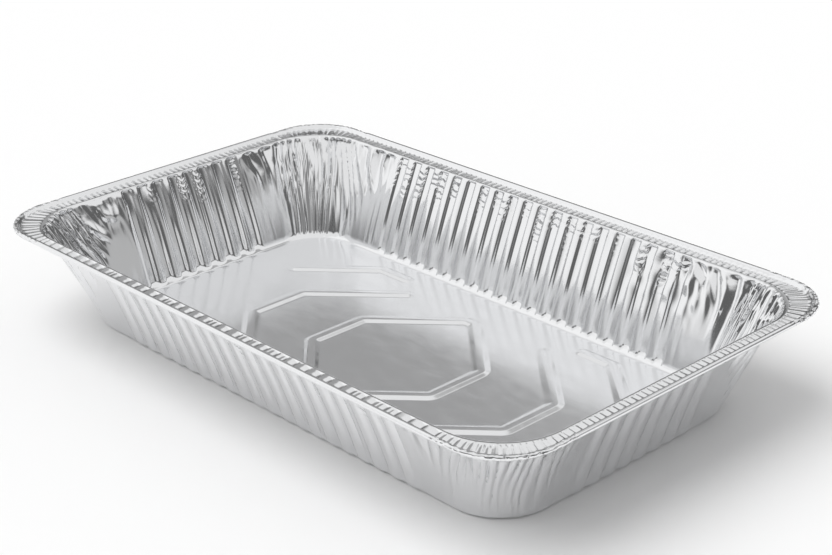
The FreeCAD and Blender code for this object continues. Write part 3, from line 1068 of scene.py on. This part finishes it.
@dataclass
class RidgedFloor:
    """Flat floor with its raised ridges, sizes in mm."""

    plan: TrayPlan
    walls: FlutedWalls
    ridge_height: float = 1.4
    ridge_foot: float = 12.0
    ridge_top: float = 5.0
    ridge_bend: float = 6.5
    bend_steps: int = 6

    def ridge_paths(self) -> list[tuple[list[tuple[float, float]], bool]]:
        """Middle lines of the floor ridges.

        Returns:
            Points of each line in mm, and whether it is closed.
        """
        side = self.plan.width / 2 - self.plan.floor_inset - 16.0
        outer = self.plan.length / 2 - self.plan.floor_inset - 38.0
        end = 62.3
        half = side - 73.0
        high = side - 21.0
        rise = (high - half) / (end - 4.6)
        ring = [(end, -half), (end, half), (4.6, high), (-4.6, high), (-end, half),
                (-end, -half), (-4.6, -high), (4.6, -high)]
        paths = [(ring, True)]
        reach = end + 69.7
        arm = half + 66.0 * rise
        for sign in (1, -1):
            paths.append(([(sign * (reach - 66.0), arm), (sign * reach, half),
                           (sign * reach, -half), (sign * (reach - 66.0), -arm)], False))
            for turn in (1, -1):
                paths.append(([(sign * (outer - 93.0), turn * side),
                               (sign * (outer - 57.0), turn * side),
                               (sign * outer, turn * (side - 51.0))], False))
        return paths

    def rounded_path(self, path: list[tuple[float, float]], closed: bool,
                     radius: float) -> tuple[np.ndarray, np.ndarray]:
        """Line through some points with its bends rounded.

        Args:
            path: Points in mm.
            closed: Whether the line is closed.
            radius: Radius of the bends.

        Returns:
            Points on the line and the unit normals to its left.
        """
        points = [np.array(point, float) for point in path]
        count = len(points)
        result = []
        for index in range(count):
            here = points[index]
            if not closed and index in (0, count - 1):
                beside = points[1] if index == 0 else points[-2]
                way = (beside - here) / np.linalg.norm(beside - here)
                stops = [0.0, 1.5, 3.0, 4.5, 6.0, 8.0]
                run = [here + way * stop for stop in stops]
                result.extend(run if index == 0 else run[::-1])
                continue
            before = points[index - 1] - here
            after = points[(index + 1) % count] - here
            before /= np.linalg.norm(before)
            after /= np.linalg.norm(after)
            inside = math.acos(max(-1.0, min(1.0, float(before @ after))))
            cut = radius / math.tan(inside / 2)
            middle = here + (before + after) / np.linalg.norm(before + after) \
                * radius / math.sin(inside / 2)
            start = here + before * cut - middle
            finish = here + after * cut - middle
            turn = math.atan2(start[0] * finish[1] - start[1] * finish[0], float(start @ finish))
            for step in range(self.bend_steps + 1):
                angle = turn * step / self.bend_steps
                cosine = math.cos(angle)
                sine = math.sin(angle)
                result.append(middle + np.array([start[0] * cosine - start[1] * sine,
                                                 start[0] * sine + start[1] * cosine]))
        line = np.array(result)
        if closed:
            forward = np.roll(line, -1, 0) - np.roll(line, 1, 0)
        else:
            forward = np.gradient(line, axis=0)
        forward /= np.linalg.norm(forward, axis=1)[:, None]
        return line, np.stack([-forward[:, 1], forward[:, 0]], 1)

    def ridge(self, number: int, path: list[tuple[float, float]],
              closed: bool) -> bpy.types.Object:
        """One ridge as a strip of sheet with a flat margin.

        Args:
            number: Number of the ridge, for its name.
            path: Middle line in mm.
            closed: Whether the line is closed.

        Returns:
            The strip.
        """
        line, left = self.rounded_path(path, closed, self.ridge_bend)
        if closed:
            line = np.vstack([line, line[:1]])
            left = np.vstack([left, left[:1]])
        foot = self.ridge_foot / 2
        top = self.ridge_top / 2
        half = np.array([0.0, 0.8 * top, 0.96 * top, top + 0.35, top + 0.9, foot - 0.9,
                         foot - 0.35, foot + 0.2, foot + 0.8, foot + 1.3])
        across = np.concatenate([-half[:0:-1], half])
        share = (foot - np.abs(across)) / (foot - top)
        rise = soft_ramp(share, 0.09)
        rise = (rise - rise[0]) / (rise.max() - rise[0])
        clear_selection()
        bpy.ops.mesh.primitive_grid_add(x_subdivisions=len(across) - 1,
                                        y_subdivisions=len(line) - 1, size=0.1)
        strip = bpy.context.object
        strip.name = f"floor_ridge_{number}"
        travel = np.concatenate([[0.0], np.cumsum(np.linalg.norm(np.diff(line, axis=0), axis=1))])
        if closed:
            fade = np.ones(len(line))
        else:
            near = np.minimum(travel, travel[-1] - travel)
            fade = smooth_step(near, 1.2, 7.0)
        narrow = 0.55 + 0.45 * fade
        points = np.zeros((len(line), len(across), 3))
        for index in range(len(line)):
            inner = across * np.where(np.abs(across) <= foot, narrow[index], 1.0)
            points[index, :, :2] = line[index] + left[index] * inner[:, None]
            points[index, :, 2] = self.plan.foil + self.ridge_height * rise * fade[index]
        strip.data.vertices.foreach_set("co", (points.reshape(-1, 3) * MM).ravel())
        strip.data.update()
        if closed:
            change_whole(strip, bpy.ops.mesh.remove_doubles, threshold=0.00001)
        return strip

    def flat_loops(self, mesh: bmesh.types.BMesh) -> list[list[bmesh.types.BMEdge]]:
        """Open loops that lie on the flat of the floor.

        Args:
            mesh: Mesh of the floor in edit mode.

        Returns:
            One list of edges for each loop.
        """
        return [loop for loop in boundary_loops(mesh)
                if max(vertex.co.z for edge in loop for vertex in edge.verts) < MM]

    def fill_floor(self, tray: bpy.types.Object) -> None:
        """Close the flat of the floor between its edge and the ridges.

        Args:
            tray: Edge of the floor with the ridges joined to it.
        """
        make_active(tray)
        bpy.ops.object.mode_set(mode="EDIT")
        bpy.ops.mesh.select_mode(type="EDGE")
        mesh = bmesh.from_edit_mesh(tray.data)
        middle_loops = []
        for loop in self.flat_loops(mesh):
            centre = sum(edge.verts[0].co.x for edge in loop) / len(loop)
            if abs(centre) < MM:
                reach = max(abs(vertex.co.x) for edge in loop for vertex in edge.verts)
                middle_loops.append((reach, loop))
        select_edges(tray, mesh, [min(middle_loops, key=lambda item: item[0])[1]])
        bpy.ops.mesh.fill(use_beauty=True)
        mesh = bmesh.from_edit_mesh(tray.data)
        select_edges(tray, mesh, self.flat_loops(mesh))
        bpy.ops.mesh.fill(use_beauty=True)
        bpy.ops.mesh.select_mode(type="VERT")
        bpy.ops.object.mode_set(mode="OBJECT")

    def build(self, finish: bpy.types.Material) -> bpy.types.Object:
        """Build and dress the floor.

        Args:
            finish: Material of the foil.

        Returns:
            The finished mesh.
        """
        edge = self.walls.shape(self.walls.columns())[0][0]
        clear_selection()
        bpy.ops.mesh.primitive_circle_add(vertices=len(edge), radius=0.1, fill_type="NOTHING")
        floor = bpy.context.object
        floor.name = "ridged_floor"
        floor.data.vertices.foreach_set("co", (edge * MM).ravel())
        floor.data.update()
        strips = [self.ridge(number, path, closed)
                  for number, (path, closed) in enumerate(self.ridge_paths())]
        make_active(floor)
        for strip in strips:
            strip.select_set(True)
        bpy.ops.object.join()
        self.fill_floor(floor)
        face_upwards(floor, self.plan.foil * MM)
        thicken(floor, self.plan.foil * MM)
        return dressed(floor, finish)


@dataclass
class RolledRim:
    """Flange with its radial reeds, and the rolled bead at its edge, sizes in mm."""

    plan: TrayPlan
    long_steps: int = 420
    short_steps: int = 228
    arc_steps: int = 84
    near_reed_pitch: float = 10.4
    reed_pitch: float = 5.3
    reed_depth: float = 0.85
    extra_reed_chance: float = 0.35
    near_reed_slopes: tuple[float, float] = (3.3, 0.8)
    right_reed_slopes: tuple[float, float] = (0.7, 1.7)
    reed_slopes: tuple[float, float] = (1.0, 1.0)
    far_reed_slopes: tuple[float, float] = (1.5, 0.75)
    corner_droop: float = 0.95
    wall_droop: float = 0.35
    droop_length: float = 90.0
    corner_reed_pitch: float = 4.6
    corner_reed_radius: float = 52.0
    bead_foot_inset: float = 6.2
    bead_steps: int = 15
    bead_groove: float = 0.22
    corner_wrinkle: float = 1.5
    wall_wrinkle: float = 0.08

    def columns(self) -> Columns:
        """Columns of the rim, clockwise from the far left.

        Returns:
            All columns round the rim.
        """
        columns = Columns()
        corner_reach = self.plan.seam_inset + self.plan.wall_top_corner
        half_x = self.plan.length / 2 - corner_reach
        half_y = self.plan.width / 2 - corner_reach
        for corner in Corner:
            sign = corner.sign_x
            if corner.from_long:
                for step in range(self.long_steps):
                    share = 2 * step / self.long_steps - 1
                    columns.add(Zone.LONG_WALL, 0, sign, share * half_x * sign)
            else:
                for step in range(self.short_steps):
                    share = 1 - 2 * step / self.short_steps
                    columns.add(Zone.SHORT_WALL, sign, 0, share * half_y * sign)
            for step in range(self.arc_steps):
                share = step / self.arc_steps
                columns.add(Zone.CORNER_ARC, corner.sign_x, corner.sign_y,
                            share if corner.from_long else 1 - share, corner)
        return columns

    def section(self) -> list[tuple[float, float, float]]:
        """Upper side of the foil from the flange to the curled end of the bead.

        Returns:
            Inset, height and depth share of the reeds of each row.
        """
        plan = self.plan
        top = plan.flange_top
        rows = [(plan.seam_inset, top, 0.0), (12.9, top, 0.3), (12.5, top, 0.75),
                (11.9, top, 1.0), (10.6, top, 1.0), (9.2, top, 1.0), (7.9, top, 1.0),
                (7.0, top, 0.95), (6.3, top + 0.02, 0.85), (5.6, top + 0.15, 0.65),
                (5.0, top + 0.5, 0.35), (4.35, top + 1.15, 0.05)]
        middle = plan.height - plan.bead_radius
        for step in range(self.bead_steps + 1):
            angle = math.radians(150.0 - 300.0 * step / self.bead_steps)
            radius = plan.bead_radius - (self.bead_groove if step == 3 else 0.0)
            rows.append((plan.bead_radius - radius * math.cos(angle),
                         middle + radius * math.sin(angle), 0.0))
        return rows

    def reeds(self, columns: Columns) -> np.ndarray:
        """Height of the reeds at each column.

        Args:
            columns: Columns round the rim.

        Returns:
            Height in mm, mostly below zero.
        """
        random = np.random.default_rng(7)
        heights = np.zeros(len(columns))
        arc = self.corner_reed_radius * math.pi / 2
        corner_marks = {}
        for corner in Corner:
            marks = []
            place = 1.5
            while place < arc - 1.0:
                marks.append((place, random.uniform(0.5, 1.15), random.uniform(0.7, 1.25)))
                place += self.corner_reed_pitch * random.uniform(0.65, 1.35)
            corner_marks[corner] = marks
        wall_marks = {}
        for key, reach in (((Zone.LONG_WALL, 1), self.plan.length / 2),
                           ((Zone.LONG_WALL, -1), self.plan.length / 2),
                           ((Zone.SHORT_WALL, 1), self.plan.width / 2),
                           ((Zone.SHORT_WALL, -1), self.plan.width / 2)):
            marks = []
            near = key == (Zone.LONG_WALL, -1)
            pitch = self.near_reed_pitch if near else self.reed_pitch
            place = -reach + self.plan.rim_corner + 12.0
            while place < reach - self.plan.rim_corner - 12.0:
                marks.append((place, random.uniform(0.7, 1.1), random.uniform(0.8, 1.2)))
                if near and random.uniform() < self.extra_reed_chance:
                    marks.append((place + random.uniform(3.4, 5.2), random.uniform(0.25, 0.6),
                                  random.uniform(0.45, 0.7)))
                place += pitch * random.uniform(0.84, 1.16)
            wall_marks[key] = marks
        for index, zone in enumerate(columns.zone):
            place = columns.place[index]
            slopes = self.reed_slopes
            if zone is Zone.CORNER_ARC:
                marks = corner_marks[columns.corner[index]]
                place *= arc
            elif zone is Zone.LONG_WALL:
                marks = wall_marks[(zone, columns.sign_y[index])]
                near = columns.sign_y[index] < 0
                slopes = self.near_reed_slopes if near else self.far_reed_slopes
            else:
                marks = wall_marks[(zone, columns.sign_x[index])]
                if columns.sign_x[index] > 0:
                    slopes = self.right_reed_slopes
            total = 0.0
            for centre, depth, spread in marks:
                width = slopes[0] if place < centre else slopes[1]
                total += depth * math.exp(-((place - centre) / (width * spread)) ** 2)
            heights[index] = -self.reed_depth * min(1.3, total)
        return heights

    def droop(self, columns: Columns) -> np.ndarray:
        """How far the outer edge of the flange hangs down, most at the near right corner.

        Args:
            columns: Columns round the rim.

        Returns:
            Drop in mm.
        """
        reach = self.plan.seam_inset + self.plan.wall_top_corner
        drop = np.zeros(len(columns))
        _, normals = outline(self.plan, columns, self.plan.seam_inset,
                             self.plan.wall_top_corner, 0.0, 0.0)
        side = np.clip(0.85 * (normals[:, 0] - normals[:, 1]), 0.0, 1.0)
        for index, zone in enumerate(columns.zone):
            beyond = 0.0
            if zone is Zone.LONG_WALL:
                beyond = self.plan.length / 2 - reach - abs(columns.place[index])
            elif zone is Zone.SHORT_WALL:
                beyond = self.plan.width / 2 - reach - abs(columns.place[index])
            share = 1.0 - float(smooth_step(np.array(beyond), 0.0, self.droop_length))
            drop[index] = self.wall_droop + (self.corner_droop - self.wall_droop) * share
        return drop * side

    def rings(self, columns: Columns) -> np.ndarray:
        """Places of all vertices of the rim.

        Args:
            columns: Columns round the rim.

        Returns:
            Points in mm, by row and column.
        """
        plan = self.plan
        section = self.section()
        rings = np.zeros((len(section), len(columns), 3))
        reeds = self.reeds(columns)
        droop = self.droop(columns)
        for row, (inset, height, reed) in enumerate(section):
            if inset > self.bead_foot_inset:
                share = (inset - self.bead_foot_inset) / (plan.seam_inset - self.bead_foot_inset)
                start = plan.rim_corner - self.bead_foot_inset
                radius = start + (plan.wall_top_corner - start) * share
            else:
                radius = plan.rim_corner - inset
            points, normals = self.spread(columns, inset, radius)
            rings[row, :, :2] = points
            outward = min(1.0, (plan.seam_inset - inset) / (plan.seam_inset - 6.8))
            rings[row, :, 2] = height + (reeds - droop * outward) * reed
            if inset < self.bead_foot_inset - 1.0:
                wobble = self.wrinkles(columns, row)
                middle = plan.height - plan.bead_radius
                out = (plan.bead_radius - inset) / plan.bead_radius
                up = (height - middle) / plan.bead_radius
                rings[row, :, :2] -= normals * (wobble * max(0.0, out))[:, None]
                rings[row, :, 2] -= wobble * max(0.0, up)
        return rings

    def spread(self, columns: Columns, inset: float,
               radius: float) -> tuple[np.ndarray, np.ndarray]:
        """Carry the columns straight outwards to one rounded rectangle.

        Args:
            columns: Columns round the rim.
            inset: Distance inwards from the outermost edge.
            radius: Corner radius.

        Returns:
            Points in mm and outward normals.
        """
        plan = self.plan
        points, normals = outline(plan, columns, plan.seam_inset, plan.wall_top_corner, 0.0, 0.0)
        centre = np.array([plan.length / 2 - inset - radius, plan.width / 2 - inset - radius])
        for _ in range(8):
            beyond = np.abs(points) - centre
            outside = np.hypot(*np.maximum(beyond, 0.0).T)
            distance = outside + np.minimum(beyond.max(axis=1), 0.0) - radius
            points = points - normals * distance[:, None]
        return points, normals

    def wrinkles(self, columns: Columns, row: int) -> np.ndarray:
        """Dips of the bead, deeper round the corners.

        Args:
            columns: Columns round the rim.
            row: Row of the section.

        Returns:
            Depth in mm at each column.
        """
        depth = np.zeros(len(columns))
        for index, corner in enumerate(columns.corner):
            value = abs(drift(index / 1.9, row * 0.3, 5.0))
            depth[index] = (self.wall_wrinkle if corner is None else self.corner_wrinkle) * value
        return depth

    def build(self, finish: bpy.types.Material) -> bpy.types.Object:
        """Build and dress the rim.

        Args:
            finish: Material of the foil.

        Returns:
            The finished mesh.
        """
        columns = self.columns()
        rings = self.rings(columns)
        rim = extruded_rings("rolled_rim", len(columns), len(rings))
        place_rings(rim, rings)
        face_upwards(rim, self.plan.flange_top * MM)
        thicken(rim, self.plan.foil * MM)
        return dressed(rim, finish)


@dataclass
class Studio:
    """Floor, surroundings, lamp and camera, sizes in metres and angles in degrees."""

    azimuth: float = 46.78
    elevation: float = 23.97
    roll: float = -0.99
    distance: float = 1.405
    target: tuple[float, float, float] = (-0.0900, 0.1063, 0.0)
    focal_pixels: float = 1783.0
    frame_width: float = 832.0
    sensor_width: float = 36.0
    floor_size: float = 12.0
    floor_level: float = 0.9
    floor_roughness: float = 0.9
    fill_level: float = 0.65
    lamp_place: tuple[float, float, float] = (-0.6, -0.8, 1.8)
    lamp_angle: float = 56.0
    lamp_strength: float = 1.65
    dome_radius: float = 2.4
    dome_bounce_loss: float = 0.7

    def camera(self) -> bpy.types.Object:
        """Place the camera at the viewing angle of the photograph.

        Returns:
            The camera.
        """
        turn = math.radians(self.azimuth)
        rise = math.radians(self.elevation)
        back = Vector((math.sin(turn) * math.cos(rise), -math.cos(turn) * math.cos(rise),
                       math.sin(rise)))
        right = Vector((math.cos(turn), math.sin(turn), 0.0))
        up = back.cross(right)
        roll = math.radians(self.roll)
        leaned = right * math.cos(roll) + up * math.sin(roll)
        raised = up * math.cos(roll) - right * math.sin(roll)
        clear_selection()
        bpy.ops.object.camera_add()
        camera = bpy.context.object
        camera.name = "camera"
        place = Vector(self.target) + back * self.distance
        camera.matrix_world = Matrix((
            (leaned.x, raised.x, back.x, place.x),
            (leaned.y, raised.y, back.y, place.y),
            (leaned.z, raised.z, back.z, place.z),
            (0.0, 0.0, 0.0, 1.0)))
        camera.data.sensor_fit = "HORIZONTAL"
        camera.data.sensor_width = self.sensor_width
        camera.data.lens = self.focal_pixels / self.frame_width * self.sensor_width
        camera.data.clip_start = 0.05
        bpy.context.scene.camera = camera
        return camera

    def floor(self) -> bpy.types.Object:
        """Pale floor that keeps the shadow of the tray.

        Returns:
            The floor.
        """
        clear_selection()
        bpy.ops.mesh.primitive_plane_add(size=self.floor_size, location=(0, 0, 0))
        floor = bpy.context.object
        floor.name = "floor"
        material = bpy.data.materials.new("pale_floor")
        material.use_nodes = True
        shader = material.node_tree.nodes["Principled BSDF"]
        shader.inputs["Base Color"].default_value = (*[self.floor_level] * 3, 1.0)
        shader.inputs["Roughness"].default_value = self.floor_roughness
        shader.inputs["Specular IOR Level"].default_value = 0.0
        floor.data.materials.append(material)
        return floor

    def world(self) -> None:
        """White surroundings of even light."""
        world = bpy.data.worlds.new("studio")
        bpy.context.scene.world = world
        world.use_nodes = True
        tree = world.node_tree
        shader = tree.nodes["Background"]
        shader.inputs["Color"].default_value = (1.0, 1.0, 1.0, 1.0)
        path = tree.nodes.new("ShaderNodeLightPath")
        seen = arithmetic(tree, "MAXIMUM", path.outputs["Is Camera Ray"],
                          path.outputs["Is Glossy Ray"])
        seen = arithmetic(tree, "MAXIMUM", seen, path.outputs["Is Transmission Ray"])
        level = add_node(tree, "ShaderNodeMapRange", {
            "Value": seen, "To Min": self.fill_level, "To Max": 1.0})
        tree.links.new(level.outputs["Result"], shader.inputs["Strength"])

    def lamps(self) -> None:
        """One wide soft lamp from the left."""
        clear_selection()
        bpy.ops.object.light_add(type="SUN", location=self.lamp_place)
        lamp = bpy.context.object
        lamp.name = "soft_lamp"
        lamp.data.angle = math.radians(self.lamp_angle)
        lamp.data.energy = self.lamp_strength
        way = Vector((0, 0, 0)) - lamp.location
        lamp.rotation_euler = way.to_track_quat("-Z", "Y").to_euler()
        lamp.visible_glossy = False

    def dome(self) -> bpy.types.Object:
        """Studio walls, seen only in the foil: bright panels and darker gaps.

        Returns:
            The dome.
        """
        clear_selection()
        bpy.ops.mesh.primitive_uv_sphere_add(segments=64, ring_count=32, radius=self.dome_radius)
        dome = bpy.context.object
        dome.name = "studio_walls"
        material, output = blank_material("studio_walls")
        tree = material.node_tree
        place = tree.nodes.new("ShaderNodeTexCoord")
        way = add_node(tree, "ShaderNodeVectorMath", {0: place.outputs["Object"]},
                       operation="NORMALIZE")
        level = STUDIO_LEVEL
        for panel in STUDIO_PANELS:
            level = panel.add(tree, way.outputs["Vector"], level)
        path = tree.nodes.new("ShaderNodeLightPath")
        bounced = arithmetic(tree, "MULTIPLY_ADD", path.outputs["Diffuse Depth"],
                             -self.dome_bounce_loss, 1.0, clamp=True)
        glow = add_node(tree, "ShaderNodeEmission", {
            "Strength": arithmetic(tree, "MULTIPLY", level, bounced)})
        tree.links.new(glow.outputs["Emission"], output.inputs["Surface"])
        dome.data.materials.append(material)
        dome.visible_camera = False
        dome.visible_diffuse = False
        dome.visible_shadow = False
        dome.visible_transmission = False
        return dome


@dataclass(frozen=True)
class Panel:
    """Soft-edged round patch of light or dark on the studio walls, angles in degrees."""

    azimuth: float
    elevation: float
    inner: float
    outer: float
    level: float

    def add(self, tree: bpy.types.NodeTree, way: bpy.types.NodeSocket,
            under: bpy.types.NodeSocket | float) -> bpy.types.NodeSocket:
        """Lay this patch over what is there already.

        Args:
            tree: Node tree of the studio walls.
            way: Unit vector from the tray to the wall.
            under: Brightness without this patch.

        Returns:
            Brightness with this patch.
        """
        turn = math.radians(self.azimuth)
        rise = math.radians(self.elevation)
        centre = (math.cos(turn) * math.cos(rise), math.sin(turn) * math.cos(rise),
                  math.sin(rise))
        dot = add_node(tree, "ShaderNodeVectorMath", {0: way, 1: centre},
                       operation="DOT_PRODUCT")
        share = add_node(tree, "ShaderNodeMapRange", {
            "Value": dot.outputs["Value"],
            "From Min": math.cos(math.radians(self.outer)),
            "From Max": math.cos(math.radians(self.inner))}, interpolation_type="SMOOTHSTEP")
        mix = add_node(tree, "ShaderNodeMix", {
            "Factor": share.outputs["Result"], "A": under, "B": self.level}, data_type="FLOAT")
        return mix.outputs["Result"]


STUDIO_LEVEL = 0.13
STUDIO_PANELS = (
    Panel(azimuth=0.0, elevation=90.0, inner=59.0, outer=67.0, level=0.87),
    Panel(azimuth=-40.0, elevation=28.0, inner=12.0, outer=24.0, level=0.26),
    Panel(azimuth=-142.0, elevation=14.0, inner=6.0, outer=38.0, level=1.0),
    Panel(azimuth=-163.0, elevation=50.0, inner=14.0, outer=24.0, level=1.02),
    Panel(azimuth=172.0, elevation=8.0, inner=12.0, outer=18.0, level=0.75),
    Panel(azimuth=-24.0, elevation=8.0, inner=9.0, outer=13.0, level=0.75),
    Panel(azimuth=33.0, elevation=9.0, inner=8.0, outer=18.0, level=0.5),
    Panel(azimuth=102.0, elevation=9.0, inner=8.0, outer=12.0, level=0.6),
    Panel(azimuth=140.0, elevation=-12.0, inner=18.0, outer=22.0, level=0.8),
    Panel(azimuth=101.0, elevation=51.0, inner=4.0, outer=11.0, level=0.42),
    Panel(azimuth=132.0, elevation=32.0, inner=7.0, outer=13.0, level=0.4),
    Panel(azimuth=144.0, elevation=30.0, inner=8.0, outer=14.0, level=0.37),
)


def main() -> None:
    """Build the tray and the studio round it."""
    logging.basicConfig(level=logging.INFO, format="%(name)s: %(message)s")
    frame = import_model()
    LOG.info("frame loaded with nodes %s", ", ".join(sorted(frame["nodes"])))
    plan = TrayPlan()
    finish = FoilFinish().material()
    floor_finish = FoilFinish(name="pressed_floor_foil", roughness=0.18, roughness_spread=0.12,
                              grain_height=0.00002, smear_scale=(40.0, 90.0, 90.0)).material()
    walls = FlutedWalls(plan)
    pieces = [RidgedFloor(plan, walls).build(floor_finish), walls.build(finish),
              RolledRim(plan).build(finish)]
    for piece in pieces:
        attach(piece, "root")
        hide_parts("foil_tray")
    studio = Studio()
    studio.camera()
    studio.floor()
    studio.world()
    studio.lamps()
    studio.dome()
    scene = bpy.context.scene
    scene.view_settings.view_transform = "Standard"


if __name__ == "__main__":
    main()
